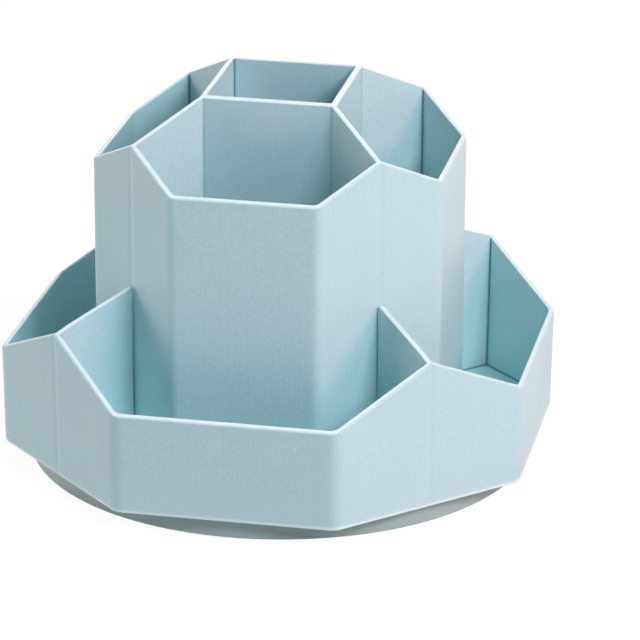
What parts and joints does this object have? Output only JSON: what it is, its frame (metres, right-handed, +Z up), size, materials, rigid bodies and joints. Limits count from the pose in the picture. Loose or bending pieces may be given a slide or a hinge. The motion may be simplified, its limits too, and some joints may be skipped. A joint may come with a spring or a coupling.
{
  "type": "rotating pen holder",
  "caption": "Desk organizer whose octagonal tray and taller centre tower of open cells turn together on a round ball-bearing base.",
  "frame": {"origin": "on the desk under the pivot, at the middle of the base", "axes": "+Z up along the pivot; -Y is the side that faces the viewer; the tray's flats are square to X and Y"},
  "size_m": [0.178, 0.178, 0.13],
  "materials": {
    "pale_blue_plastic": "fine satin moulded plastic",
    "base_plastic": "fine satin moulded plastic",
    "cage_plastic": "smooth white plastic",
    "ball_steel": "polished bearing steel",
    "zinc_plated_steel": "bright zinc plate",
    "foot_rubber": "matt rubber"
  },
  "bodies": {
    "base": {"base_dish": "base_plastic", "rubber_foot_1": "foot_rubber", "rubber_foot_2": "foot_rubber", "rubber_foot_3": "foot_rubber", "rubber_foot_4": "foot_rubber", "rubber_foot_5": "foot_rubber", "rubber_foot_6": "foot_rubber"},
    "turntable": {"outer_tray": "pale_blue_plastic", "centre_tower": "pale_blue_plastic", "tower_screws": "zinc_plated_steel", "pivot_washer": "zinc_plated_steel", "pivot_screw": "zinc_plated_steel"},
    "cage": {"ball_cage": "cage_plastic", "bearing_ball_1": "ball_steel", "bearing_ball_2": "ball_steel", "bearing_ball_3": "ball_steel", "bearing_ball_4": "ball_steel", "bearing_ball_5": "ball_steel", "bearing_ball_6": "ball_steel", "bearing_ball_7": "ball_steel", "bearing_ball_8": "ball_steel"}
  },
  "joints": [
    {"name": "turntable_spin", "type": "hinge", "parent": "base", "child": "turntable", "pos_m": [0, 0, 0.006], "axis": [0, 0, 1], "continuous": true},
    {"name": "cage_spin", "type": "hinge", "parent": "base", "child": "cage", "pos_m": [0, 0, 0.006], "axis": [0, 0, 1], "continuous": true}
  ],
  "couplings": [
    {"joint": "cage_spin", "follows": "turntable_spin", "ratio": 0.5}
  ]
}
